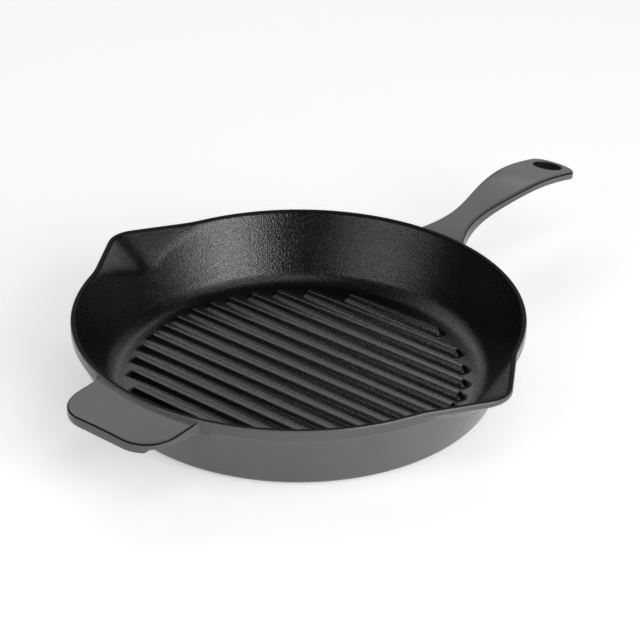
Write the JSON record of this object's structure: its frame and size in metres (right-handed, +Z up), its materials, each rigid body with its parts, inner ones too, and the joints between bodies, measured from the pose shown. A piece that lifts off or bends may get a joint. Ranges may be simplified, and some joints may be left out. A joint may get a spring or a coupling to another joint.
{
  "type": "grill pan",
  "caption": "Round cast-iron grill pan with raised parallel ribs, pour spouts on both sides, a long handle with a hanging hole and a helper handle.",
  "frame": {"origin": "centre of the round underside, on the surface that the pan stands on", "axes": "+Z up out of the bowl; +X towards the long handle's end, -X towards the helper handle; the pour spouts point along +Y and -Y, and the ribs run along Y"},
  "size_m": [0.4683, 0.3276, 0.0593],
  "materials": {
    "cooking_surface": "matte black enamel",
    "wall_enamel": "matte black enamel inside, satin dark grey enamel outside",
    "outer_enamel": "satin dark grey enamel"
  },
  "bodies": {
    "root": {"pan_floor": "cooking_surface", "foot_ring": "wall_enamel", "side_wall": "wall_enamel", "rim_band_long_handle": "outer_enamel", "rim_band_helper_handle": "outer_enamel", "pour_spout_left": "wall_enamel", "pour_spout_right": "wall_enamel", "grill_rib_01": "cooking_surface", "grill_rib_02": "cooking_surface", "grill_rib_03": "cooking_surface", "grill_rib_04": "cooking_surface", "grill_rib_05": "cooking_surface", "grill_rib_06": "cooking_surface", "grill_rib_07": "cooking_surface", "grill_rib_08": "cooking_surface", "grill_rib_09": "cooking_surface", "grill_rib_10": "cooking_surface", "grill_rib_11": "cooking_surface", "grill_rib_12": "cooking_surface", "grill_rib_13": "cooking_surface", "grill_rib_14": "cooking_surface", "grill_rib_15": "cooking_surface", "handle_root": "outer_enamel", "handle_grip": "outer_enamel", "handle_eye": "outer_enamel", "helper_handle": "outer_enamel"}
  },
  "joints": []
}
